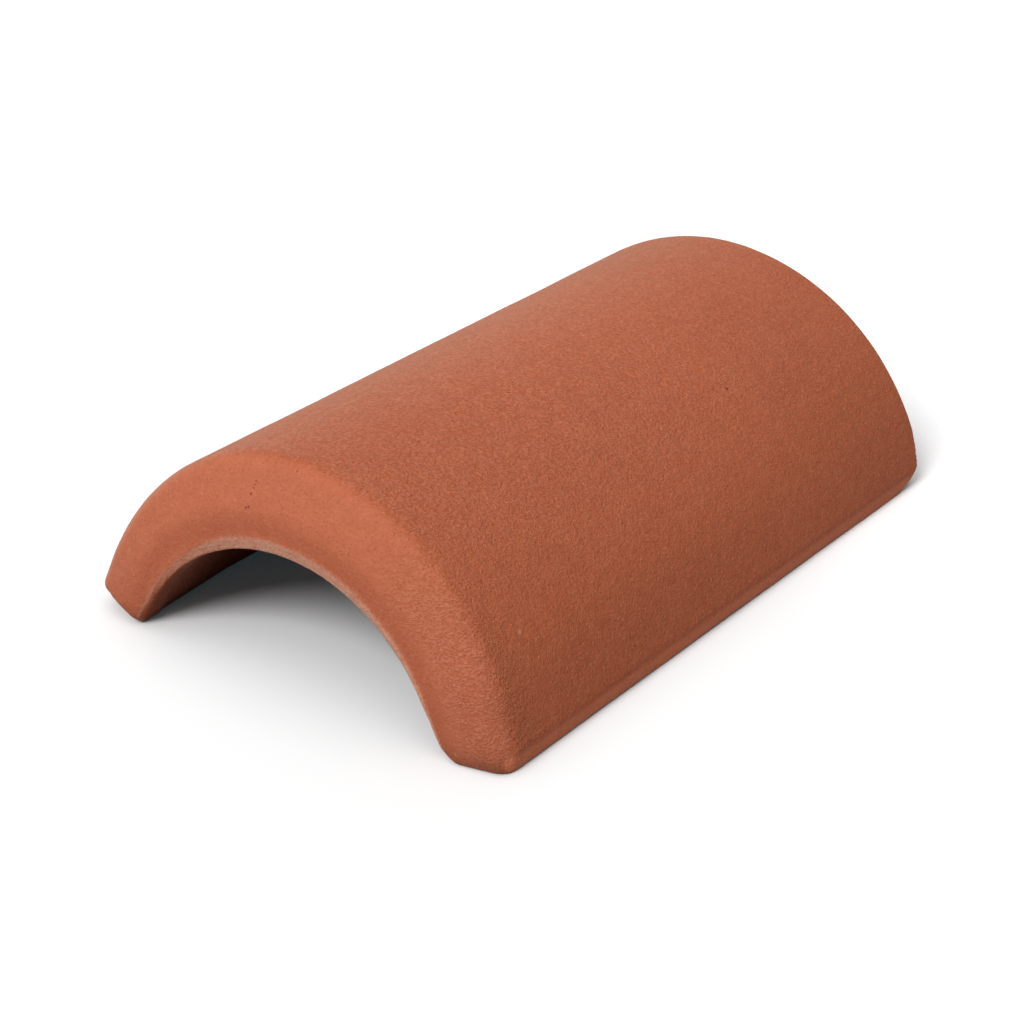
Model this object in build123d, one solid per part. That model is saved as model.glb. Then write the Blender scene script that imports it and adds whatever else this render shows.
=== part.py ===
from build123d import *
import math
import os

# Driving dimensions, in millimetres and degrees. The tile lies on its two feet, with
# its lipped end towards -Y and its plain end towards +Y. It is drawn from the foot of
# its front face, and is moved at the end so that the origin is under its middle.
tile_length = 333.0

# Outside of the barrel at the lipped end: a round crown on straight, leaning legs
crown_radius = 115.0
arch_height = 94.5
leg_lean = 23.0
# Gain in radius at the plain end, the draft that lets the tile leave its mould
draft_growth = 3.5
wall = 26.0

# Front face: a flat zone round the mouth, then a shoulder that falls back to the crease
face_lean = 5.0
face_radius = 98.0
face_height = 75.0
crease_lean = 8.3
crease_setback = 4.0
crease_radius = 12.0
shoulder_blend = 30.0

# Mouth through the lip, with a worn band round its arris that is widest at the crown
mouth_radius = 86.0
mouth_height = 57.5
mouth_lean = 32.0
band_rise = 6.0
band_draw = 1.7
band_depth = 2.6
band_softening = 1.5

# Lip, whose back steps out and then flares into the bore of the barrel
lip_depth = 15.0
lip_step = 1.0
flare_length = 45.0

# Land along the outside of each foot
land_inset = 4.4
land_lean = 6.0

# Flats off the front corners of the feet, each as its reach across the tile, along it
# and up: the inner corners are alike, the outer left one is dressed off much further back
inner_flat = (9.0, 5.0, 5.0)
outer_right_flat = (24.5, 6.0, 20.0)
outer_left_flat = (35.0, 20.0, 16.5)
# Rounding between an outer flat and the land behind it
corner_radius = 8.0
# Size of the block that a corner is cut off with, as a multiple of the flat's reach
block_factor = 4.0

# Plain end, whose feet are rounded off in side view
heel_radius = 24.0

# Overrun of a cutting body past the face that it opens
overrun = 20.0
# Height above which an edge or a face counts as clear of the floor
floor_clearance = 2.0


def foot_half_width(radius, height, lean, base=0.0):
    """Half the width of an arch outline at the level of its base."""
    angle = math.radians(lean)
    tangent_drop = height - radius + radius * math.sin(angle) - base
    return radius * math.cos(angle) + tangent_drop * math.tan(angle)


def arch_face(radius, height, lean, y, base=0.0):
    """A filled arch across the tile: a round crown on straight legs that lean outwards."""
    tangent_x = radius * math.cos(math.radians(lean))
    tangent_z = height - radius + radius * math.sin(math.radians(lean))
    foot_x = foot_half_width(radius, height, lean, base)
    left_top, right_top = (-tangent_x, y, tangent_z), (tangent_x, y, tangent_z)
    left_foot, right_foot = (-foot_x, y, base), (foot_x, y, base)
    crown = ThreePointArc(left_top, (0, y, height), right_top)
    legs_and_floor = Polyline(right_top, right_foot, left_foot, left_top)
    return make_face([crown, legs_and_floor])


def barrel_section(inset, y, base=0.0):
    """The barrel's arch across the tile, drawn in by inset."""
    size = draft_growth * y / tile_length - inset
    return arch_face(crown_radius + size, arch_height + size, leg_lean, y, base)


def mouth_section(rise, draw, y):
    """The mouth's outline at the lean of the front face, opened up for the worn band."""
    outline = arch_face(mouth_radius - draw, mouth_height + rise, mouth_lean, 0, -overrun)
    return Pos(Y=y) * Rot(X=-face_lean) * outline


def front_face(solid):
    """The flat face nearest the lipped end."""
    return solid.faces().filter_by(GeomType.PLANE).sort_by(Axis.Y)[0]


def raised_edges(face):
    """The edges of an end face that don't lie on the floor."""
    return face.edges().filter_by(lambda edge: edge.center().Z > floor_clearance)


def crease_edges(solid):
    """The edges between the outside of the barrel and the shoulder in front of it."""
    sides = solid.faces().filter_by(lambda face: face.center().Z > floor_clearance)
    sides = sides.filter_by(lambda face: face.bounding_box().size.Y > tile_length / 2)
    return [raised_edges(side).sort_by(Axis.Y)[0] for side in sides]


def make_outside():
    """The filled arch with its front face, shoulder and rolled crease."""
    lean = math.radians(crease_lean)
    into_tile = (0, math.cos(lean), -math.sin(lean))
    crease_plane = Plane((0, crease_setback, 0), x_dir=(1, 0, 0), z_dir=into_tile)
    barrel = loft([barrel_section(0, -overrun), barrel_section(0, tile_length)], ruled=True)
    barrel = split(barrel, bisect_by=crease_plane, keep=Keep.TOP)
    flat_zone = Rot(X=-face_lean) * arch_face(face_radius, face_height, leg_lean, 0)
    shoulder = loft([flat_zone, front_face(barrel)], ruled=True)
    solid = (barrel + shoulder).solids()[0]
    solid = solid.fillet(shoulder_blend, raised_edges(front_face(solid)))
    return solid.fillet(crease_radius, crease_edges(solid))


def make_bore():
    """The hollow behind the lip: a step and a flare, then the bore of the barrel."""
    flare_end = lip_depth + flare_length
    step = arch_face(mouth_radius + lip_step, mouth_height + lip_step, mouth_lean, lip_depth, -overrun)
    flare = loft([step, barrel_section(wall, flare_end, -overrun)], ruled=True)
    open_end = barrel_section(wall, tile_length + overrun, -overrun)
    return flare + loft([barrel_section(wall, flare_end, -overrun), open_end], ruled=True)


def make_mouth():
    """The opening through the lip, with its worn band."""
    opening = extrude(mouth_section(0, 0, -overrun), amount=overrun + lip_depth, dir=(0, 1, 0))
    in_front = mouth_section(2 * band_rise, 2 * band_draw, -band_depth)
    band = loft([in_front, mouth_section(0, 0, band_depth)], ruled=True)
    return opening + band


def flat_normal(towards, flat):
    """The outward normal of a flat, which reaches across towards +X or -X."""
    across, along, up = flat
    side, back, top = Vector(towards * across, 0, 0), Vector(0, along, 0), Vector(0, 0, up)
    return ((top - side).cross(back - side) * towards).normalized()


def corner_wedge(x, towards, flat):
    """What a flat takes off the foot corner at x."""
    across, along, up = (block_factor * reach for reach in flat)
    cut = Plane((x + towards * flat[0], 0, 0), z_dir=flat_normal(towards, flat))
    return split(Pos(x, 0, 0) * Box(across, along, up), bisect_by=cut, keep=Keep.TOP)


def round_corner(envelope, x, towards, flat):
    """The envelope with a flat off its front corner at x, rounded into the land behind it."""
    envelope = (envelope - corner_wedge(x, towards, flat)).solids()[0]
    normal = flat_normal(towards, flat)
    flat_face = envelope.faces().sort_by(lambda face: face.normal_at().dot(normal))[-1]
    outer_edge = flat_face.edges().sort_by(lambda edge: towards * edge.center().X)[0]
    return envelope.fillet(corner_radius, [outer_edge])


def make_foot_envelope():
    """A plan outline on the floor that widens upwards, which trims the feet to a land."""
    corners = []
    for y in (0, tile_length):
        growth = draft_growth * y / tile_length
        half_width = foot_half_width(crown_radius + growth, arch_height + growth, leg_lean)
        corners += [(land_inset - half_width, y), (half_width - land_inset, y)]
    near_left, near_right, far_left, far_right = corners
    plan = make_face(Polyline(near_left, near_right, far_right, far_left, close=True))
    envelope = extrude(plan, amount=arch_height + overrun, taper=-land_lean)
    envelope = round_corner(envelope, near_right[0], -1, outer_right_flat)
    return round_corner(envelope, near_left[0], 1, outer_left_flat)


def make_tile():
    """The whole tile, one cast piece."""
    tile = (make_outside() - make_bore() - make_mouth()).solids()[0]
    band_top = mouth_height + band_rise
    band_edges = raised_edges(front_face(tile)).filter_by(lambda edge: abs(edge.center().X) < mouth_radius)
    band_edges = band_edges.filter_by(lambda edge: edge.bounding_box().max.Z < band_top)
    tile = tile.fillet(band_softening, band_edges)
    far_end = tile.faces().filter_by(GeomType.PLANE).sort_by(Axis.Y)[-1]
    tile = tile.fillet(heel_radius, far_end.edges().sort_by(Axis.Z)[:2])
    tile = (tile & make_foot_envelope()).solids()[0]
    inside = foot_half_width(mouth_radius, mouth_height, mouth_lean)
    tile -= corner_wedge(inside, 1, inner_flat)
    tile -= corner_wedge(-inside, -1, inner_flat)
    return tile.moved(Location((0, -tile.bounding_box().center().Y, 0)))


os.makedirs("parts", exist_ok=True)
export_step(make_tile(), "parts/ridge_end_tile.step")
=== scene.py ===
"""A cast concrete ridge end tile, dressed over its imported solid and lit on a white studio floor."""

from __future__ import annotations

import logging
import math
from dataclasses import dataclass, field
from enum import Enum

import bpy
import numpy as np
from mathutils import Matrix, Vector


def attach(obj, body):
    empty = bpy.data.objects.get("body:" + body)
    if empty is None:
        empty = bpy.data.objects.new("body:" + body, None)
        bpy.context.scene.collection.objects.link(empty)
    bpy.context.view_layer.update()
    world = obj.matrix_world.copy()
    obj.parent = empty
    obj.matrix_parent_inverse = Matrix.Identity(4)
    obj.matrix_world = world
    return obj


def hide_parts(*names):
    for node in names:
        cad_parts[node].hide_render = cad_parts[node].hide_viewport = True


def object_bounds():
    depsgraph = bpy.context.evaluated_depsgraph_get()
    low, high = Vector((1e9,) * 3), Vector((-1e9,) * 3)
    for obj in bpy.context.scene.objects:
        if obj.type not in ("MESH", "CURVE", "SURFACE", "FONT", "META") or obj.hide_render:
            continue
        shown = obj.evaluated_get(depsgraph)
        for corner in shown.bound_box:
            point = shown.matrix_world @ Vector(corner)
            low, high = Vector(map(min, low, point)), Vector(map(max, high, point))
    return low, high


Socket = bpy.types.NodeSocket
Screen = tuple[float, float, float]
Window = tuple[float, float]

LOG = logging.getLogger("ridge_end_tile")
MILLIMETRE = 0.001
BLACK: Screen = (0.0, 0.0, 0.0)
WHITE: Screen = (255.0, 255.0, 255.0)
# Added to a divisor that may be nothing
TINY = 1e-6

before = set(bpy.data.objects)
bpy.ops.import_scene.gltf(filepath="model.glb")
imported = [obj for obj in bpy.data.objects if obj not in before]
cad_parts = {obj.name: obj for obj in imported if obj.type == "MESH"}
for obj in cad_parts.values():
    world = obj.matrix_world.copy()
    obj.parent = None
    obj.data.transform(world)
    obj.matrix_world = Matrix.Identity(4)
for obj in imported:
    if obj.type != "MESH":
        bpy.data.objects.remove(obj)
cad_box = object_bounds()


def linear(screen: Screen) -> tuple[float, float, float, float]:
    """Turn a screen colour into the linear colour that a shader takes.

    Args:
        screen: Red, green and blue of the screen colour, 0 to 255.

    Returns:
        The linear colour with an alpha of 1.
    """
    # The screen's curve has a straight foot, and is a power above it
    foot, foot_slope, offset, power = 0.04045, 12.92, 0.055, 2.4
    channels = []
    for value in screen:
        share = value / 255.0
        channels.append(share / foot_slope if share <= foot else ((share + offset) / (1.0 + offset)) ** power)
    return (*channels, 1.0)


def ease(values: np.ndarray, low: float | np.ndarray, high: float | np.ndarray) -> np.ndarray:
    """Rise smoothly from 0 at low to 1 at high; low may be the larger of the two.

    Args:
        values: The values to ease.
        low: Where the result is 0.
        high: Where the result is 1.

    Returns:
        The eased values, 0 to 1.
    """
    share = np.clip((values - low) / (high - low), 0.0, 1.0)
    return share * share * (3.0 - 2.0 * share)


class Mask(Enum):
    """The parts of the cast surface that look different, by the name of their attribute."""

    BAND = "worn_band"
    FACE = "front_zone"
    BORE = "bore"
    STEP = "lip_step"
    BRUSHED = "brushed_skin"
    LAND = "foot_land"
    RIM = "mouth_rim"


class NodePen:
    """Writes nodes and their links into one node tree."""

    COLUMNS = 12
    COLUMN_WIDTH = 180
    ROW_HEIGHT = 220

    def __init__(self, tree: bpy.types.NodeTree) -> None:
        """Start with an empty tree.

        Args:
            tree: The tree to write in.
        """
        self.tree = tree
        self.tree.nodes.clear()
        self.count = 0

    def feed(self, socket: Socket, value: object) -> None:
        """Link a socket to another one, or set its value.

        Args:
            socket: The input to feed.
            value: An output socket, or a plain value.
        """
        if isinstance(value, Socket):
            self.tree.links.new(value, socket)
        else:
            socket.default_value = value

    def node(
        self, kind: str, inputs: dict[str | int, object] | None = None, **settings: object
    ) -> bpy.types.Node:
        """Add a node.

        Args:
            kind: The node's type.
            inputs: What feeds its sockets, by name or place.
            **settings: Its own properties.

        Returns:
            The new node.
        """
        made = self.tree.nodes.new(kind)
        self.count += 1
        row, column = divmod(self.count, self.COLUMNS)
        made.location = (self.COLUMN_WIDTH * column, -self.ROW_HEIGHT * row)
        for name, value in settings.items():
            setattr(made, name, value)
        for key, value in (inputs or {}).items():
            self.feed(made.inputs[key], value)
        return made

    def math(self, operation: str, first: object, second: object) -> Socket:
        """Work out one sum; Returns its result."""
        return self.node("ShaderNodeMath", {0: first, 1: second}, operation=operation).outputs[0]

    def vector(self, operation: str, first: object, second: object) -> Socket:
        """Work out one sum of vectors, or a vector SCALEd by a number; Returns its result."""
        key = "Scale" if operation == "SCALE" else 1
        return self.node("ShaderNodeVectorMath", {0: first, key: second}, operation=operation).outputs[0]

    def per(self, length: object) -> Socket:
        """Turn the length of a pattern into the scale that a texture takes; Returns the scale."""
        return self.math("DIVIDE", 1.0, length)

    def spread(self, value: object, low: object, high: object, smooth: bool = True) -> Socket:
        """Map low to 0 and high to 1, clamped between them.

        Args:
            value: The value to map.
            low: What gives 0; it may be the larger of the two.
            high: What gives 1.
            smooth: Whether the ends are eased.

        Returns:
            The mapped value.
        """
        kind = "SMOOTHSTEP" if smooth else "LINEAR"
        inputs = {"Value": value, "From Min": low, "From Max": high}
        return self.node("ShaderNodeMapRange", inputs, interpolation_type=kind).outputs["Result"]

    def noise(self, vector: object, scale: object, detail: float = 2.0, roughness: float = 0.5) -> Socket:
        """Add a noise; Returns its value, 0 to 1."""
        inputs = {"Vector": vector, "Scale": scale, "Detail": detail, "Roughness": roughness}
        return self.node("ShaderNodeTexNoise", inputs, noise_dimensions="3D").outputs[0]

    def noise_vector(self, vector: object, scale: float, detail: float) -> Socket:
        """Add a noise of three numbers; Returns them as a vector, each 0 to 1."""
        inputs = {"Vector": vector, "Scale": scale, "Detail": detail}
        return self.node("ShaderNodeTexNoise", inputs).outputs["Color"]

    def cells(self, vector: object, scale: object) -> tuple[Socket, bpy.types.NodeOutputs]:
        """Fill space with cells; Returns the distance from a cell's middle, and three numbers for it."""
        cell = self.node("ShaderNodeTexVoronoi", {"Vector": vector, "Scale": scale}, feature="F1").outputs
        return cell["Distance"], self.node("ShaderNodeSeparateColor", {0: cell["Color"]}).outputs

    def mix(self, factor: object, first: object, second: object) -> Socket:
        """Mix two colours; Returns the mixed colour."""
        return self.node("ShaderNodeMix", {0: factor, 6: first, 7: second}, data_type="RGBA").outputs[2]

    def mask(self, mask: Mask) -> Socket:
        """Read one of the surface masks; Returns its value."""
        return self.node("ShaderNodeAttribute", attribute_name=mask.value).outputs["Fac"]


class EffectGroup:
    """A shader node group with named inputs and outputs, built once and used by its name."""

    def __init__(self, name: str, inputs: dict[str, float], outputs: list[str]) -> None:
        """Make the group's tree and its sockets.

        Args:
            name: The group's name.
            inputs: Its number inputs with their usual values; a Vector input comes first.
            outputs: Its number outputs.
        """
        self.tree = bpy.data.node_groups.new(name, "ShaderNodeTree")
        face = self.tree.interface
        face.new_socket("Vector", in_out="INPUT", socket_type="NodeSocketVector")
        for label, value in inputs.items():
            face.new_socket(label, in_out="INPUT", socket_type="NodeSocketFloat").default_value = value
        for label in outputs:
            face.new_socket(label, in_out="OUTPUT", socket_type="NodeSocketFloat")
        self.pen = NodePen(self.tree)
        self.entry = self.pen.node("NodeGroupInput").outputs
        self.exit = self.pen.node("NodeGroupOutput").inputs

    def place(self, pen: NodePen, vector: object, **values: object) -> bpy.types.NodeOutputs:
        """Place the group in a material.

        Args:
            pen: The pen of the material's tree.
            vector: The coordinates that the effect follows.
            **values: The group's inputs, with underscores for the spaces in their names.

        Returns:
            The group's outputs.
        """
        made = pen.node("ShaderNodeGroup", node_tree=self.tree)
        pen.feed(made.inputs["Vector"], vector)
        for label, value in values.items():
            pen.feed(made.inputs[label.replace("_", " ").capitalize()], value)
        return made.outputs


def make_grain_group() -> EffectGroup:
    """Draw sand grains in the skin, some paler and some darker.

    Returns:
        The group.
    """
    shares = {"Pale share": 0.1, "Dark share": 0.1}
    group = EffectGroup("sand_grain", {"Size": 0.0008, **shares}, ["Pale", "Dark"])
    pen, entry = group.pen, group.entry
    grain_edge, grain_top = 0.75, 0.1
    distance, picks = pen.cells(entry["Vector"], pen.per(entry["Size"]))
    dome = pen.spread(distance, grain_edge, grain_top)
    for pick, label in enumerate(("Pale", "Dark")):
        chosen = pen.spread(picks[pick], pen.math("SUBTRACT", 1.0, entry[f"{label} share"]), 1.0)
        pen.feed(group.exit[label], pen.math("MULTIPLY", chosen, dome))
    return group


def make_peel_group() -> EffectGroup:
    """Draw the fine uneven relief of sandy cement skin.

    Returns:
        The group.
    """
    group = EffectGroup("sandy_peel", {"Size": 0.0011}, ["Height"])
    pen, entry = group.pen, group.entry
    valley, crest = 0.28, 0.72
    value = pen.noise(entry["Vector"], pen.per(entry["Size"]), roughness=0.62)
    pen.feed(group.exit["Height"], pen.spread(value, valley, crest, smooth=False))
    return group


def make_spot_group() -> EffectGroup:
    """Draw one hole or chip at a known place, with an uneven rim.

    Returns:
        The group.
    """
    group = EffectGroup("known_spot", {"X": 0.0, "Y": 0.0, "Z": 0.0, "Radius": 0.001}, ["Depth"])
    pen, entry = group.pen, group.entry
    least_stretch, rim_scale = 0.5, 1100.0
    middle = pen.node("ShaderNodeCombineXYZ", {axis: entry[axis] for axis in "XYZ"}).outputs[0]
    ends = {0: entry["Vector"], 1: middle}
    gap = pen.node("ShaderNodeVectorMath", ends, operation="DISTANCE").outputs["Value"]
    uneven = pen.math("ADD", least_stretch, pen.noise(entry["Vector"], rim_scale, detail=1.0))
    pen.feed(group.exit["Depth"], pen.spread(pen.math("MULTIPLY", gap, uneven), entry["Radius"], 0.0))
    return group


def make_pore_group() -> EffectGroup:
    """Draw air pores, which are sparse round holes of mixed sizes.

    Returns:
        The group.
    """
    group = EffectGroup("air_pore", {"Spacing": 0.006, "Width": 0.2, "Share": 0.3}, ["Hole"])
    pen, entry = group.pen, group.entry
    wobble_scale, wobble_reach = 900.0, 0.6 * MILLIMETRE
    # The smallest pore is 0.6 in 1.6 of the widest, and a pore is flat over the middle 0.4 of its width
    size_start, flat_share = -0.6, 0.4
    wobble = pen.noise_vector(entry["Vector"], wobble_scale, detail=2.0)
    place = pen.vector("ADD", entry["Vector"], pen.vector("SCALE", wobble, wobble_reach))
    distance, picks = pen.cells(place, pen.per(entry["Spacing"]))
    width = pen.math("MULTIPLY", entry["Width"], pen.spread(picks[1], size_start, 1.0, smooth=False))
    round_hole = pen.spread(distance, width, pen.math("MULTIPLY", width, flat_share))
    chosen = pen.math("LESS_THAN", picks[0], entry["Share"])
    pen.feed(group.exit["Hole"], pen.math("MULTIPLY", round_hole, chosen))
    return group


def make_patch_group() -> EffectGroup:
    """Draw soft patches of tone, as cement and pigment leave them.

    Returns:
        The group.
    """
    group = EffectGroup("tone_patch", {"Size": 0.03, "Sharpness": 0.0}, ["Tone"])
    pen, entry = group.pen, group.entry
    middle, softest_edge = 0.5, 0.25
    value = pen.noise(entry["Vector"], pen.per(entry["Size"]), detail=4.0, roughness=0.6)
    edge = pen.math("MULTIPLY", pen.math("SUBTRACT", 1.0, entry["Sharpness"]), softest_edge)
    low, high = pen.math("SUBTRACT", middle, edge), pen.math("ADD", middle, edge)
    pen.feed(group.exit["Tone"], pen.spread(value, low, high))
    return group


def make_brush_group() -> EffectGroup:
    """Draw the fine wandering grooves that a wet brush leaves in the skin.

    Returns:
        The group.
    """
    group = EffectGroup("brush_groove", {"Width": 0.0011, "Wander": 0.005}, ["Groove"])
    pen, entry = group.pen, group.entry
    drift_scale, half = 120.0, (0.5, 0.5, 0.5)
    turn, stretch = (0.0, 0.0, 0.65), (2.3, 1.0, 1.0)
    groove_edge, groove_floor = 0.64, 0.36
    drift = pen.vector("SUBTRACT", pen.noise_vector(entry["Vector"], drift_scale, detail=1.0), half)
    place = pen.vector("ADD", entry["Vector"], pen.vector("SCALE", drift, entry["Wander"]))
    stroke = {"Vector": place, "Rotation": turn, "Scale": stretch}
    along = pen.node("ShaderNodeMapping", stroke, vector_type="TEXTURE").outputs[0]
    value = pen.noise(along, pen.per(entry["Width"]), detail=1.0, roughness=0.45)
    pen.feed(group.exit["Groove"], pen.spread(value, groove_edge, groove_floor))
    return group


@dataclass(frozen=True)
class Spot:
    """One larger hole or pale chip in the cast skin, in metres."""

    place: tuple[float, float, float]
    radius: float


@dataclass(frozen=True)
class Patterns:
    """What the colour and the relief are made from: the coordinates, and values from 0 to 1."""

    place: Socket
    broad: Socket
    middle: Socket
    skin: Socket
    peel: Socket
    groove: Socket
    hole: Socket
    chip: Socket


@dataclass(frozen=True)
class Coverage:
    """How strongly each coat covers the coats below it, 0 to 1."""

    broad: float = 0.3
    middle: float = 0.22
    face_dust_and_sheen: float = 0.38
    glancing_sheen: float = 0.5
    skin: float = 0.26
    peel: float = 0.42
    # The groove and ridge coats paint shade in the brush grooves and a highlight on the ridges between them
    groove: float = 0.36
    ridge: float = 0.1
    low_shade: float = 0.12
    far_shade: float = 0.06
    toe_shade: float = 0.25
    rim: float = 0.3
    band: float = 0.95
    foot_bounce_light: float = 0.6
    bore: float = 0.85
    lip_step: float = 0.7
    pale_grain: float = 0.36
    pale_grain_gained_on_band: float = 0.6
    pale_grain_lost_on_face: float = 0.12
    dark_grain: float = 0.34
    chip: float = 0.8
    hole: float = 0.85


@dataclass(frozen=True)
class ConcreteFinish:
    """Through-coloured cast concrete with a fine sandy skin.

    Heights and depths are in millimetres, other lengths in metres. A patch is its size and its
    sharpness, and a shade is where it starts and where it is full.
    """

    name: str = "brick_red_concrete"
    body: Screen = (178, 93, 61)
    deep: Screen = (150, 73, 46)
    pale: Screen = (194, 113, 80)
    bloom: Screen = (202, 146, 122)
    pale_grain: Screen = (210, 148, 115)
    dark_grain: Screen = (108, 54, 36)
    # Painted shade: a dark line in the crease where the lip steps back to the bore
    step_shade: Screen = (70, 35, 24)
    # Painted shade: holes and pores are darker, as shade falls inside them
    pit_shade: Screen = (98, 38, 24)
    # Painted shade: the bore is darker, as shade falls inside it
    inside: Screen = (114, 54, 31)
    # The front face is paler, partly from dust and partly as a painted sheen from the lamps
    face_dust_and_sheen: Screen = (184, 113, 90)
    # Painted light: the lands of the feet are lighter, as the floor's bounce lights them
    foot_bounce_light: Screen = (228, 132, 94)
    # Painted sheen: a paler colour where the surface is seen at a glancing angle
    glancing_sheen: Screen = (210, 158, 132)
    cover: Coverage = Coverage()
    broad_patch: tuple[float, float] = (75.0 * MILLIMETRE, 0.1)
    middle_patch: tuple[float, float] = (14.0 * MILLIMETRE, 0.25)
    skin_patch: tuple[float, float] = (4.2 * MILLIMETRE, 0.2)
    grain_size: float = 0.9 * MILLIMETRE
    grain_shares: tuple[float, float] = (0.2, 0.24)
    peel_size: float = 1.15 * MILLIMETRE
    peel_height: float = 0.21
    band_peel_height: float = 0.16
    skin_height: float = 0.17
    groove_depth: float = 0.22
    groove_width: float = 0.8 * MILLIMETRE
    pore_spacing: float = 5.5 * MILLIMETRE
    pore_width: float = 0.11
    pore_share: float = 0.1
    pore_depth: float = 0.25
    glancing: Window = (0.45, 0.95)
    low_shade: Window = (45.0 * MILLIMETRE, 0.0)
    far_shade: Window = (0.0, 170.0 * MILLIMETRE)
    toe_shade: Window = (14.0 * MILLIMETRE, 0.0)
    band_wear: Window = (-0.2, 1.2)
    roughness: tuple[float, float] = (0.84, 0.95)
    sheen: float = 0.08
    sheen_roughness: float = 0.35
    specular: float = 0.06
    holes: tuple[Spot, ...] = (
        Spot((0.0694, 0.0566, 0.0738), 1.5 * MILLIMETRE),
        Spot((-0.0181, -0.1540, 0.0841), 0.7 * MILLIMETRE),
        Spot((-0.0182, -0.1547, 0.0828), 0.6 * MILLIMETRE),
        Spot((-0.0183, -0.1554, 0.0814), 0.6 * MILLIMETRE),
        Spot((-0.0189, -0.1567, 0.0792), 1.0 * MILLIMETRE),
        Spot((-0.0186, -0.1588, 0.0743), 0.9 * MILLIMETRE),
        Spot((-0.0198, -0.1591, 0.0736), 0.8 * MILLIMETRE),
        Spot((0.0628, 0.1601, 0.0798), 0.8 * MILLIMETRE),
    )
    chips: tuple[Spot, ...] = (
        Spot((0.0953, -0.1310, 0.0444), 1.6 * MILLIMETRE),
        Spot((0.0989, -0.1283, 0.0479), 1.1 * MILLIMETRE),
    )

    def make(self) -> bpy.types.Material:
        """Build the material.

        Returns:
            The finished material.
        """
        material = bpy.data.materials.new(self.name)
        material.use_nodes = True
        pen = NodePen(material.node_tree)
        patterns = self._patterns(pen)
        colour = self._colour(pen, patterns)
        relief = {"Strength": 1.0, "Distance": MILLIMETRE, "Height": self._height(pen, patterns)}
        smooth, rough = self.roughness
        inputs = {
            "Base Color": colour,
            "Roughness": pen.math("ADD", smooth, pen.math("MULTIPLY", patterns.middle, rough - smooth)),
            "Specular IOR Level": self.specular,
            "Sheen Weight": self.sheen,
            "Sheen Roughness": self.sheen_roughness,
            "Normal": pen.node("ShaderNodeBump", relief).outputs["Normal"],
        }
        surface = pen.node("ShaderNodeBsdfPrincipled", inputs)
        pen.node("ShaderNodeOutputMaterial", {"Surface": surface.outputs[0]})
        return material

    def _patterns(self, pen: NodePen) -> Patterns:
        """Place the effect groups in the material.

        Args:
            pen: The pen of the material's tree.

        Returns:
            The coordinates and the values that the groups give.
        """
        place = pen.node("ShaderNodeTexCoord").outputs["Object"]
        patches, spots = make_patch_group(), make_spot_group()
        broad, middle, skin = (
            patches.place(pen, place, size=size, sharpness=sharpness)["Tone"]
            for size, sharpness in (self.broad_patch, self.middle_patch, self.skin_patch)
        )
        peel = make_peel_group().place(pen, place, size=self.peel_size)["Height"]
        pores = make_pore_group().place(
            pen, place, spacing=self.pore_spacing, width=self.pore_width, share=self.pore_share
        )
        hole = pen.math("MAXIMUM", pores["Hole"], self._spots(pen, place, spots, self.holes))
        chip = self._spots(pen, place, spots, self.chips)
        strokes = make_brush_group().place(pen, place, width=self.groove_width)["Groove"]
        groove = pen.math("MULTIPLY", strokes, pen.mask(Mask.BRUSHED))
        return Patterns(place, broad, middle, skin, peel, groove, hole, chip)

    def _spots(self, pen: NodePen, place: Socket, group: EffectGroup, spots: tuple[Spot, ...]) -> Socket:
        """Draw known holes or chips.

        Args:
            pen: The pen of the material's tree.
            place: The coordinates of the surface.
            group: The group that draws one spot.
            spots: The spots to draw.

        Returns:
            How deep each point lies in a spot, 0 to 1.
        """
        deepest: object = 0.0
        for spot in spots:
            x, y, z = spot.place
            drawn = group.place(pen, place, x=x, y=y, z=z, radius=spot.radius)["Depth"]
            deepest = pen.math("MAXIMUM", deepest, drawn)
        return deepest

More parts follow.
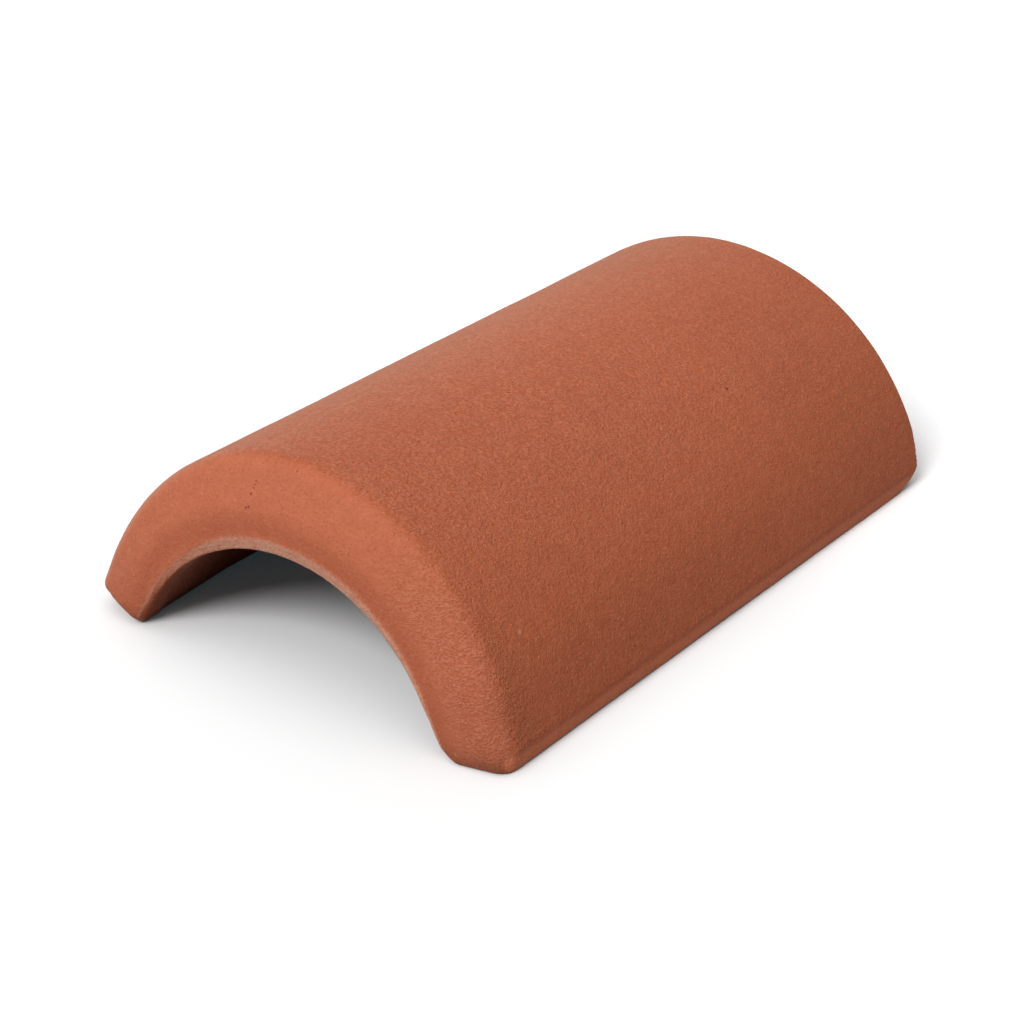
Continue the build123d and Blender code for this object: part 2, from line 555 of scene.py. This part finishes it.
    def _colour(self, pen: NodePen, patterns: Patterns) -> Socket:
        """Lay the coats over each other, from the body of the concrete to its grains and holes.

        Args:
            pen: The pen of the material's tree.
            patterns: What the coats are made from.

        Returns:
            The colour of the surface.
        """
        cover, skin, peel, groove = self.cover, patterns.skin, patterns.peel, patterns.groove
        band, face = pen.mask(Mask.BAND), pen.mask(Mask.FACE)
        facing = pen.node("ShaderNodeLayerWeight", {"Blend": 0.5}).outputs["Facing"]
        ridge = pen.math("SUBTRACT", pen.mask(Mask.BRUSHED), groove)
        worn = pen.math("MULTIPLY", band, pen.spread(pen.math("ADD", skin, peel), *self.band_wear))
        pale_share, dark_share = self.grain_shares
        grains = make_grain_group().place(
            pen, patterns.place, size=self.grain_size, pale_share=pale_share, dark_share=dark_share
        )
        gained = pen.math("MULTIPLY", band, cover.pale_grain_gained_on_band)
        lost = pen.math("MULTIPLY", face, cover.pale_grain_lost_on_face)
        pale_cover = pen.math("SUBTRACT", pen.math("ADD", cover.pale_grain, gained), lost)
        coats = (
            (patterns.broad, cover.broad, self.deep),
            (patterns.middle, cover.middle, self.pale),
            # Painted sheen and dust on the front face
            (face, cover.face_dust_and_sheen, self.face_dust_and_sheen),
            # Painted sheen at glancing angles
            (pen.spread(facing, *self.glancing), cover.glancing_sheen, self.glancing_sheen),
            (skin, cover.skin, self.deep),
            (peel, cover.peel, self.pale),
            # Painted shade in the brush grooves, and a painted highlight on their ridges
            (groove, cover.groove, self.deep),
            (ridge, cover.ridge, self.glancing_sheen),
            # Painted shade low down, at the far end and at the toes of the face
            (self._shade(pen, patterns.place, face), 1.0, BLACK),
            (pen.mask(Mask.RIM), cover.rim, self.deep),
            (worn, cover.band, self.bloom),
            # Painted bounce light on the lands of the feet
            (pen.mask(Mask.LAND), cover.foot_bounce_light, self.foot_bounce_light),
            # Painted shade inside the bore
            (pen.mask(Mask.BORE), cover.bore, self.inside),
            # Painted shade in the crease behind the lip
            (pen.mask(Mask.STEP), cover.lip_step, self.step_shade),
            (grains["Pale"], pale_cover, self.pale_grain),
            (grains["Dark"], cover.dark_grain, self.dark_grain),
            (patterns.chip, cover.chip, self.pale_grain),
            # Painted shade in holes and pores
            (patterns.hole, cover.hole, self.pit_shade),
        )
        colour: object = linear(self.body)
        for where, strength, paint in coats:
            colour = pen.mix(pen.math("MULTIPLY", where, strength), colour, linear(paint))
        return colour

    def _shade(self, pen: NodePen, place: Socket, face: Socket) -> Socket:
        """Paint shade on the foot of the tile, its far end and the toes of its front face, where less light
        falls.

        Args:
            pen: The pen of the material's tree.
            place: The coordinates of the surface.
            face: How far each point lies on the front face.

        Returns:
            How much darker each point is, 0 to 1.
        """
        where = pen.node("ShaderNodeSeparateXYZ", {0: place}).outputs
        low = pen.math("MULTIPLY", pen.spread(where["Z"], *self.low_shade), self.cover.low_shade)
        far = pen.math("MULTIPLY", pen.spread(where["Y"], *self.far_shade), self.cover.far_shade)
        on_face = pen.math("MULTIPLY", face, self.cover.toe_shade)
        toe = pen.math("MULTIPLY", pen.spread(where["Z"], *self.toe_shade), on_face)
        return pen.math("ADD", pen.math("ADD", low, far), toe)

    def _height(self, pen: NodePen, patterns: Patterns) -> Socket:
        """Add up the fine relief in millimetres.

        Args:
            pen: The pen of the material's tree.
            patterns: What the relief is made from.

        Returns:
            The height of the surface.
        """
        on_band = pen.math("MULTIPLY", pen.mask(Mask.BAND), self.band_peel_height)
        height = pen.math("MULTIPLY", patterns.peel, pen.math("ADD", self.peel_height, on_band))
        for operation, value, size in (
            ("ADD", patterns.skin, self.skin_height),
            ("SUBTRACT", patterns.groove, self.groove_depth),
            ("SUBTRACT", patterns.hole, self.pore_depth),
        ):
            height = pen.math(operation, height, pen.math("MULTIPLY", value, size))
        return height


class CastSkin:
    """The Geometry Nodes tree that makes a smooth casting uneven, as the mould and the mix leave it."""

    NUMBERS = {
        "Wave Height": 0.25 * MILLIMETRE,
        "Wave Length": 46 * MILLIMETRE,
        "Ripple Height": 0.06 * MILLIMETRE,
        "Ripple Length": 5 * MILLIMETRE,
        "Dimple Density": 900.0,
        "Dimple Radius": 3.0 * MILLIMETRE,
        "Dimple Depth": 0.22 * MILLIMETRE,
        "Floor Clearance": 3.0 * MILLIMETRE,
    }
    SEED = 7
    WAVE: Window = (0.3, 0.7)
    RIPPLE: Window = (0.25, 0.75)
    LEAST_DIMPLE = 0.35

    def __init__(self) -> None:
        """Build the tree with its named inputs."""
        self.tree = bpy.data.node_groups.new("cast_skin", "GeometryNodeTree")
        face = self.tree.interface
        face.new_socket("Geometry", in_out="INPUT", socket_type="NodeSocketGeometry")
        for label in self.NUMBERS:
            face.new_socket(label, in_out="INPUT", socket_type="NodeSocketFloat")
        face.new_socket("Seed", in_out="INPUT", socket_type="NodeSocketInt")
        face.new_socket("Skin", in_out="INPUT", socket_type="NodeSocketMaterial")
        face.new_socket("Geometry", in_out="OUTPUT", socket_type="NodeSocketGeometry")
        self.pen = NodePen(self.tree)
        self.entry = self.pen.node("NodeGroupInput").outputs
        self._write()

    def _write(self) -> None:
        """Sink waves, ripples and dimples into the surface, fading out at the floor."""
        pen, entry = self.pen, self.entry
        place = pen.node("GeometryNodeInputPosition").outputs[0]
        normal = pen.node("GeometryNodeInputNormal").outputs[0]
        waves = pen.noise(place, pen.per(entry["Wave Length"]))
        ripples = pen.noise(place, pen.per(entry["Ripple Length"]), detail=3.0, roughness=0.6)
        sink = pen.math("MULTIPLY", pen.spread(waves, *self.WAVE), entry["Wave Height"])
        for value, depth in (
            (pen.spread(ripples, *self.RIPPLE), "Ripple Height"),
            (self._dimples(place), "Dimple Depth"),
        ):
            sink = pen.math("ADD", sink, pen.math("MULTIPLY", value, entry[depth]))
        level = pen.node("ShaderNodeSeparateXYZ", {0: place}).outputs["Z"]
        sink = pen.math("MULTIPLY", sink, pen.spread(level, 0.0, entry["Floor Clearance"]))
        offset = pen.vector("SCALE", normal, pen.math("MULTIPLY", sink, -1.0))
        moved = pen.node("GeometryNodeSetPosition", {"Geometry": entry["Geometry"], "Offset": offset})
        smooth = pen.node("GeometryNodeSetShadeSmooth", {0: moved.outputs[0]})
        real = pen.node("GeometryNodeRealizeInstances", {0: smooth.outputs[0]})
        dressed = pen.node("GeometryNodeSetMaterial", {0: real.outputs[0], "Material": entry["Skin"]})
        pen.node("NodeGroupOutput", {"Geometry": dressed.outputs[0]})

    def _dimples(self, place: Socket) -> Socket:
        """Scatter shallow dimples with a fixed seed.

        Args:
            place: The position of each point of the surface.

        Returns:
            How deep each point lies in its nearest dimple, 0 to 1.
        """
        pen, entry = self.pen, self.entry
        inputs = {"Mesh": entry["Geometry"], "Density": entry["Dimple Density"], "Seed": entry["Seed"]}
        points = pen.node("GeometryNodeDistributePointsOnFaces", inputs, distribute_method="RANDOM")
        spots = points.outputs["Points"]
        nearest = pen.node("GeometryNodeSampleNearest", {"Geometry": spots}, domain="POINT").outputs["Index"]
        reach = pen.node("FunctionNodeRandomValue", {"ID": nearest, "Seed": entry["Seed"]}, data_type="FLOAT")
        share = pen.math("ADD", self.LEAST_DIMPLE, reach.outputs[1])
        size = pen.math("MULTIPLY", entry["Dimple Radius"], share)
        gap = pen.node("GeometryNodeProximity", {0: spots}, target_element="POINTS").outputs["Distance"]
        return pen.spread(gap, size, 0.0)

    def apply(self, piece: bpy.types.Object, material: bpy.types.Material) -> None:
        """Run the tree on a piece and keep the result as its plain mesh.

        Args:
            piece: The piece to roughen.
            material: The material that the tree sets.
        """
        modifier = piece.modifiers.new("cast_skin", "NODES")
        modifier.node_group = self.tree
        values = {**self.NUMBERS, "Seed": self.SEED, "Skin": material}
        for item in self.tree.interface.items_tree:
            if item.in_out == "INPUT" and item.name in values:
                modifier[item.identifier] = values[item.name]
        keep_result(piece)


def keep_result(piece: bpy.types.Object) -> None:
    """Turn what a piece's modifiers make into its plain mesh, and drop the modifiers.

    Args:
        piece: The piece to settle.
    """
    graph = bpy.context.evaluated_depsgraph_get()
    mesh = bpy.data.meshes.new_from_object(piece.evaluated_get(graph))
    old = piece.data
    piece.modifiers.clear()
    piece.data = mesh
    mesh.name = piece.name
    bpy.data.meshes.remove(old)


def read_points(items: bpy.types.bpy_prop_collection, name: str) -> np.ndarray:
    """Read a vector of every item of a mesh.

    Args:
        items: The mesh's vertices or vertex normals.
        name: The name of the vector.

    Returns:
        One row of three numbers an item.
    """
    flat = np.empty(len(items) * 3)
    items.foreach_get(name, flat)
    return flat.reshape(-1, 3)


@dataclass(frozen=True)
class Mouth:
    """The opening through the lip: a round crown on legs that lean outwards by lean degrees."""

    radius: float = 86.0 * MILLIMETRE
    height: float = 57.5 * MILLIMETRE
    lean: float = 32.0
    band_width: tuple[float, float] = (3.0 * MILLIMETRE, 5.8 * MILLIMETRE)
    lip_depth: float = 15.0 * MILLIMETRE

    def above_centre(self, up: np.ndarray) -> np.ndarray:
        """Height above the middle of the crown's circle; Returns it in metres."""
        return up - (self.height - self.radius)

    def beyond(self, across: np.ndarray, up: np.ndarray) -> np.ndarray:
        """Distance outwards from the mouth's outline, negative inside it.

        Args:
            across: Distance of each point from the crown line.
            up: Height of each point above the floor.

        Returns:
            The distance in metres.
        """
        lean, above = math.radians(self.lean), self.above_centre(up)
        crown = np.hypot(across, above) - self.radius
        leg = across * math.cos(lean) + above * math.sin(lean) - self.radius
        return np.where(np.arctan2(above, across) > lean, crown, leg)


class SurfaceMasks:
    """Finds the parts of the cast surface from the place and the normal of each point.

    Each window says where a mask is 0 and where it is 1. The windows whose names start with
    FACING are of the normal's share towards a direction, the others are of a distance.
    """

    FACING_FRONT: Window = (0.25, 0.6)
    FACING_FRONT_FULLY: Window = (0.6, 0.9)
    FACING_BORE: Window = (0.75, 0.95)
    FACING_UP: Window = (0.5, 1.0)
    FACING_SIDE: Window = (0.6, 0.9)
    # In widths of the band
    BAND_EDGE: Window = (1.25, 0.85)
    RIM_OUTER: Window = (3.4, 2.0)
    RIM_INNER: Window = (0.9, 1.3)
    # In radii of the mouth towards its left leg, where the band is slimmer, and weaker as painted shade on
    # that leg
    SHADED_LEG: Window = (0.2, 0.7)
    SHADED_TRIM = 0.4
    SHADED_BAND = 0.7
    BEHIND_ARRIS: Window = (2.0 * MILLIMETRE, 6.0 * MILLIMETRE)
    STEP_WIDTH = 1.0 * MILLIMETRE
    NEAR_FRONT: Window = (42.0 * MILLIMETRE, 12.0 * MILLIMETRE)
    OFF_MOUTH: Window = (6.0 * MILLIMETRE, 20.0 * MILLIMETRE)
    RIGHT_SIDE: Window = (35.0 * MILLIMETRE, 80.0 * MILLIMETRE)
    FAR_CROWN: Window = (-50.0 * MILLIMETRE, 150.0 * MILLIMETRE)
    # In strengths of the right side's mask
    OFF_RIGHT_SIDE: Window = (0.6, 0.0)
    # Strengths of the brushed grooves, and what they lose on the far crown and on the face's left
    LEFT_CREASE = 0.25
    CREASE_STRENGTH = 0.8
    LEAST_BRUSHED = 0.12
    FAR_LOSS = 0.35
    FACE_LOSS = 0.7
    LAND_TOP: Window = (9.0 * MILLIMETRE, 5.4 * MILLIMETRE)

    def __init__(self, mesh: bpy.types.Mesh, mouth: Mouth) -> None:
        """Measure how each point lies to the mouth and to the front.

        Args:
            mesh: The mesh of the casting.
            mouth: The opening that the masks follow.
        """
        self.mesh, self.mouth = mesh, mouth
        self.place, self.normal = read_points(mesh.vertices, "co"), read_points(mesh.vertex_normals, "vector")
        self.sideways, self.up = self.place[:, 0], self.place[:, 2]
        self.behind = self.place[:, 1] - self.place[:, 1].min()
        self.beyond = mouth.beyond(np.abs(self.sideways), self.up)
        self.front = ease(-self.normal[:, 1], *self.FACING_FRONT)

    def write(self) -> None:
        """Write every mask into the mesh, for the material to read."""
        band, rim = self._band_and_rim()
        bore, step = self._bore_and_step()
        masks = {
            Mask.BAND: band,
            Mask.FACE: self.front,
            Mask.BORE: bore,
            Mask.STEP: step,
            Mask.BRUSHED: self._brushed(),
            Mask.LAND: self._land(),
            Mask.RIM: rim,
        }
        for mask, values in masks.items():
            layer = self.mesh.attributes.new(mask.value, "FLOAT", "POINT")
            layer.data.foreach_set("value", values.astype(np.float32))

    def _band_and_rim(self) -> tuple[np.ndarray, np.ndarray]:
        """Find the worn band round the mouth's arris and the darker rim outside it.

        Returns:
            The masks of the band and of the rim.
        """
        slim, wide = self.mouth.band_width
        reach = self.beyond / (slim + (wide - slim) * ease(self.up, 0.0, self.mouth.height))
        shaded = ease(-self.sideways / self.mouth.radius, *self.SHADED_LEG)
        trim = 1.0 - self.SHADED_TRIM * shaded
        band = self.front * ease(reach, *(edge * trim for edge in self.BAND_EDGE))
        kept = self.SHADED_BAND * ease(-self.normal[:, 1], *self.FACING_FRONT_FULLY)
        rim = self.front * ease(reach, *self.RIM_OUTER) * ease(reach, *self.RIM_INNER)
        return band * (1.0 - shaded * (1.0 - kept)), rim

    def _bore_and_step(self) -> tuple[np.ndarray, np.ndarray]:
        """Find the bore and the step behind its lip.

        Returns:
            The masks of the bore and of the step.
        """
        arm = np.stack([self.sideways, self.mouth.above_centre(self.up)], 1)
        arm /= np.linalg.norm(arm, axis=1, keepdims=True)
        facing_in = -(self.normal[:, 0] * arm[:, 0] + self.normal[:, 2] * arm[:, 1])
        bore = ease(facing_in, *self.FACING_BORE) * ease(self.behind, *self.BEHIND_ARRIS)
        return bore, bore * np.exp(-(((self.behind - self.mouth.lip_depth) / self.STEP_WIDTH) ** 2))

    def _brushed(self) -> np.ndarray:
        """Find where a wet brush has left its grooves, along the crown and in the crease.

        Returns:
            The mask of the grooves.
        """
        right_side = ease(self.sideways, *self.RIGHT_SIDE)
        crease = ease(self.behind, *self.NEAR_FRONT) * ease(self.beyond, *self.OFF_MOUTH)
        crease *= self.LEFT_CREASE + (1.0 - self.LEFT_CREASE) * right_side
        crown = (1.0 - self.front) * ease(self.normal[:, 2], *self.FACING_UP)
        crown *= 1.0 - self.FAR_LOSS * ease(self.place[:, 1], *self.FAR_CROWN)
        crown = self.LEAST_BRUSHED + (1.0 - self.LEAST_BRUSHED) * crown
        off_right_side = ease(right_side, *self.OFF_RIGHT_SIDE)
        brushed = np.maximum(self.CREASE_STRENGTH * crease, crown)
        return brushed * (1.0 - self.FACE_LOSS * self.front * off_right_side)

    def _land(self) -> np.ndarray:
        """Find the lands along the outside of the feet; Returns the mask."""
        outward = np.sign(self.sideways) * self.normal[:, 0]
        return ease(self.up, *self.LAND_TOP) * ease(outward, *self.FACING_SIDE)


@dataclass
class RidgeEndTile:
    """The whole tile: one casting, with an arched barrel and a lip that narrows its mouth."""

    node: str = "ridge_end_tile"
    slot: str = "brick_red_concrete"
    mouth: Mouth = Mouth()
    cell: float = 0.95 * MILLIMETRE
    weld_reach: float = 0.01 * MILLIMETRE
    triangles: int = 190_000
    softening: int = 8
    soften_factor: float = 0.5
    restore_factor: float = -0.53
    foot_wear: int = 30
    foot_wear_height: float = 24.0 * MILLIMETRE
    far_foot_wear: float = 0.3
    wear_steps: int = 8
    rim_reach: float = 4.0 * MILLIMETRE
    rim_steps: int = 60
    rim_fill: float = 0.35 * MILLIMETRE
    rim_pull: float = 0.5
    # Windows of the normal's share outwards, and along the barrel at both edges of the arris
    rim_facing: Window = (0.2, 0.5)
    arris_start: Window = (0.1, 0.4)
    arris_end: Window = (0.98, 0.85)
    finish: ConcreteFinish = field(default_factory=ConcreteFinish)

    def build(self) -> bpy.types.Object:
        """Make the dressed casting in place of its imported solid.

        Returns:
            The finished piece.
        """
        piece = self._recast()
        self._run_rim_clean(piece)
        self._wear_feet(piece)
        SurfaceMasks(piece.data, self.mouth).write()
        CastSkin().apply(piece, self.finish.make())
        self._thin(piece)
        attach(piece, "root")
        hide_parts(self.node)
        return piece

    def _recast(self) -> bpy.types.Object:
        """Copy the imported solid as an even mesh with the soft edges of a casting.

        Returns:
            The copy.
        """
        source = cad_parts[self.node]
        piece = bpy.data.objects.new("cast_tile", source.data.copy())
        piece.data.materials.clear()
        bpy.context.scene.collection.objects.link(piece)
        weld = piece.modifiers.new("weld", "WELD")
        weld.merge_threshold = self.weld_reach
        remesh = piece.modifiers.new("even", "REMESH")
        remesh.mode = "VOXEL"
        remesh.voxel_size = self.cell
        true = piece.modifiers.new("true", "SHRINKWRAP")
        true.target = source
        for label, factor in (("soften", self.soften_factor), ("restore", self.restore_factor)):
            step = piece.modifiers.new(label, "SMOOTH")
            step.factor = factor
            step.iterations = self.softening
        keep_result(piece)
        return piece

    def _run_rim_clean(self, piece: bpy.types.Object) -> None:
        """Even out the outer arris of the plain end along its length, so that its outline runs clean.

        The arris is first filled out a little, because evening it out wears it down.

        Args:
            piece: The casting.
        """
        mesh = piece.data
        place, normal = read_points(mesh.vertices, "co"), read_points(mesh.vertex_normals, "vector")
        near = place[:, 1] > place[:, 1].max() - self.rim_reach
        pairs = np.empty(len(mesh.edges) * 2, dtype=np.int32)
        mesh.edges.foreach_get("vertices", pairs)
        pairs = pairs.reshape(-1, 2)
        pairs = pairs[near[pairs].all(axis=1)]
        start, end = np.concatenate([pairs, pairs[:, ::-1]]).T
        outward = np.hypot(normal[:, 0], normal[:, 2])
        nothing = np.zeros(len(place))
        along = np.stack([-normal[:, 2], nothing, normal[:, 0]], 1) / (outward[:, None] + TINY)
        radial = np.stack([normal[:, 0], nothing, normal[:, 2]], 1) / (outward[:, None] + TINY)
        near = near * ease(place[:, 2], 0.5 * self.foot_wear_height, self.foot_wear_height)
        pull = self.rim_pull * near * ease(outward, *self.rim_facing)
        arris = near * ease(normal[:, 1], *self.arris_start) * ease(normal[:, 1], *self.arris_end)
        place += arris[:, None] * radial * self.rim_fill
        for _ in range(self.rim_steps):
            reach = place[end] - place[start]
            share = ((reach * along[start]).sum(1) ** 2 / (reach**2).sum(1)) ** 2
            total = np.bincount(start, share, len(place)) + TINY
            shift = [np.bincount(start, share * reach[:, axis], len(place)) / total for axis in range(3)]
            place += pull[:, None] * np.stack(shift, 1)
        mesh.vertices.foreach_set("co", place.ravel())
        mesh.update()

    def _wear_feet(self, piece: bpy.types.Object) -> None:
        """Wear the edges of the feet rounder than the rest, as handling leaves them.

        Args:
            piece: The casting.
        """
        place = read_points(piece.data.vertices, "co")
        wear = ease(place[:, 2], self.foot_wear_height, 0.5 * self.foot_wear_height)
        wear *= self.far_foot_wear + (1.0 - self.far_foot_wear) * ease(place[:, 1], place[:, 1].max(), 0.0)
        worn = piece.vertex_groups.new(name="worn_feet")
        for level in range(1, self.wear_steps + 1):
            chosen = np.flatnonzero(np.round(wear * self.wear_steps) == level)
            worn.add(chosen.tolist(), level / self.wear_steps, "REPLACE")
        soften = piece.modifiers.new("wear", "SMOOTH")
        soften.vertex_group = worn.name
        soften.factor = self.soften_factor
        soften.iterations = self.foot_wear
        keep_result(piece)
        self._keep_inside(piece)

    def _thin(self, piece: bpy.types.Object) -> None:
        """Collapse the flattest triangles until the piece is light enough, but none on the plain end's rim.

        Args:
            piece: The casting.
        """
        place = read_points(piece.data.vertices, "co")
        outward = np.hypot(*read_points(piece.data.vertex_normals, "vector")[:, ::2].T)
        rim = (place[:, 1] > place[:, 1].max() - self.rim_reach) & (outward > self.rim_facing[0])
        free = piece.vertex_groups.new(name="free_to_thin")
        free.add(np.flatnonzero(~rim).tolist(), 1.0, "REPLACE")
        piece.data.calc_loop_triangles()
        thin = piece.modifiers.new("thin", "DECIMATE")
        thin.vertex_group = free.name
        thin.ratio = min(1.0, self.triangles / len(piece.data.loop_triangles))
        keep_result(piece)
        self._keep_inside(piece)

    def _keep_inside(self, piece: bpy.types.Object) -> None:
        """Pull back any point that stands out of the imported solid's box.

        Args:
            piece: The casting.
        """
        low, high = (np.array(corner) for corner in cad_box)
        inside = np.clip(read_points(piece.data.vertices, "co"), low, high)
        piece.data.vertices.foreach_set("co", inside.ravel())


@dataclass(frozen=True)
class Lamp:
    """A soft studio lamp. At a level of 1 it shows a colour as written; its width is in degrees."""

    name: str
    level: float
    towards: tuple[float, float, float]
    width: float


class Studio:
    """The white floor, the lamps, the world and the camera."""

    FLOOR_SPAN = 12.0
    CAMERA_PLACE = (0.50962, -0.68122, 0.44471)
    CAMERA_BACK = (0.53979, -0.71023, 0.45188)
    LENS = 73.173
    SENSOR = 36.0
    NEAR_LIMIT = 0.01
    WORLD_LIGHT = 0.1
    LAMPS = (
        Lamp("key", 0.64, (0.02, -0.72, 0.69), 26.0),
        Lamp("top", 0.58, (-0.06, -0.22, 0.97), 85.0),
        Lamp("rim", 0.1, (-0.55, 0.62, 0.56), 50.0),
    )
    # The camera sees the floor a little greyer in front than behind, where FLOOR_FADE ends, which deepens the
    # tile's shadow in front and paints it out behind; a weak cool glow painted on the floor in front keeps
    # the tile's shadow neutral; the tile itself sees the darker FLOOR_BOUNCE
    FLOOR_SEEN: Screen = (240.0, 240.0, 240.0)
    FLOOR_BEHIND: Screen = (253.0, 253.0, 253.0)
    FLOOR_FILL: Screen = (18.0, 37.0, 40.0)
    FLOOR_BOUNCE: Screen = (190.0, 190.0, 190.0)
    FLOOR_FADE: Window = (0.0, 0.15)

    def build(self) -> None:
        """Set up everything that isn't part of the tile."""
        self._floor()
        for lamp in self.LAMPS:
            self._hang(lamp)
        self._world()
        self._camera()

    def _floor(self) -> None:
        """Lay a plain floor that looks white but throws little light back up; its shade and a cool glow in
        the tile's shadow are painted.
        """
        half = self.FLOOR_SPAN / 2
        corners = [(-half, -half, 0), (half, -half, 0), (half, half, 0), (-half, half, 0)]
        mesh = bpy.data.meshes.new("studio_floor")
        mesh.from_pydata(corners, [], [(0, 1, 2, 3)])
        material = bpy.data.materials.new("studio_white")
        material.use_nodes = True
        pen = NodePen(material.node_tree)
        place = pen.node("ShaderNodeTexCoord").outputs["Object"]
        behind = pen.spread(pen.node("ShaderNodeSeparateXYZ", {0: place}).outputs["Y"], *self.FLOOR_FADE)
        tone = pen.mix(behind, linear(self.FLOOR_SEEN), linear(self.FLOOR_BEHIND))
        lit = pen.node("ShaderNodeBsdfDiffuse", {"Color": tone})
        level = pen.math("SUBTRACT", 1.0, behind)
        fill = pen.node("ShaderNodeEmission", {"Color": linear(self.FLOOR_FILL), "Strength": level})
        seen = pen.node("ShaderNodeAddShader", {0: lit.outputs[0], 1: fill.outputs[0]})
        bounce = pen.node("ShaderNodeBsdfDiffuse", {"Color": linear(self.FLOOR_BOUNCE)})
        path = pen.node("ShaderNodeLightPath").outputs
        either = pen.math("MAXIMUM", path["Is Camera Ray"], path["Is Glossy Ray"])
        look = pen.node("ShaderNodeMixShader", {0: either, 1: bounce.outputs[0], 2: seen.outputs[0]})
        pen.node("ShaderNodeOutputMaterial", {"Surface": look.outputs[0]})
        mesh.materials.append(material)
        floor = bpy.data.objects.new("studio_floor", mesh)
        bpy.context.scene.collection.objects.link(floor)

    def _hang(self, lamp: Lamp) -> None:
        """Add a broad soft lamp that lights the whole floor evenly.

        Args:
            lamp: The lamp.
        """
        light = bpy.data.lights.new(lamp.name, "SUN")
        light.energy = math.pi * lamp.level
        light.angle = math.radians(lamp.width)
        hung = bpy.data.objects.new(lamp.name, light)
        hung.rotation_euler = Vector(lamp.towards).to_track_quat("Z", "Y").to_euler()
        bpy.context.scene.collection.objects.link(hung)

    def _world(self) -> None:
        """Fill weakly from all sides with a plain sky that itself shows white."""
        world = bpy.data.worlds.new("studio")
        world.use_nodes = True
        pen = NodePen(world.node_tree)
        fill = pen.node("ShaderNodeBackground", {"Color": linear(WHITE), "Strength": self.WORLD_LIGHT})
        white = pen.node("ShaderNodeBackground", {"Color": linear(WHITE), "Strength": 1.0})
        seen = pen.node("ShaderNodeLightPath").outputs["Is Camera Ray"]
        look = pen.node("ShaderNodeMixShader", {0: seen, 1: fill.outputs[0], 2: white.outputs[0]})
        pen.node("ShaderNodeOutputWorld", {"Surface": look.outputs[0]})
        bpy.context.scene.world = world

    def _camera(self) -> None:
        """Set the camera at the photograph's viewing angle."""
        data = bpy.data.cameras.new("camera")
        data.sensor_width = self.SENSOR
        data.lens = self.LENS
        data.clip_start = self.NEAR_LIMIT
        camera = bpy.data.objects.new("camera", data)
        camera.location = self.CAMERA_PLACE
        camera.rotation_euler = Vector(self.CAMERA_BACK).to_track_quat("Z", "Y").to_euler()
        bpy.context.scene.collection.objects.link(camera)
        bpy.context.scene.camera = camera


def main() -> None:
    """Build the studio and the tile."""
    logging.basicConfig(level=logging.INFO, format="%(name)s: %(message)s")
    Studio().build()
    LOG.info("studio set up")
    tile = RidgeEndTile().build()
    tile.data.calc_loop_triangles()
    LOG.info("%s: %d triangles", tile.name, len(tile.data.loop_triangles))
    bpy.context.scene.view_settings.view_transform = "Standard"


if __name__ == "__main__":
    main()
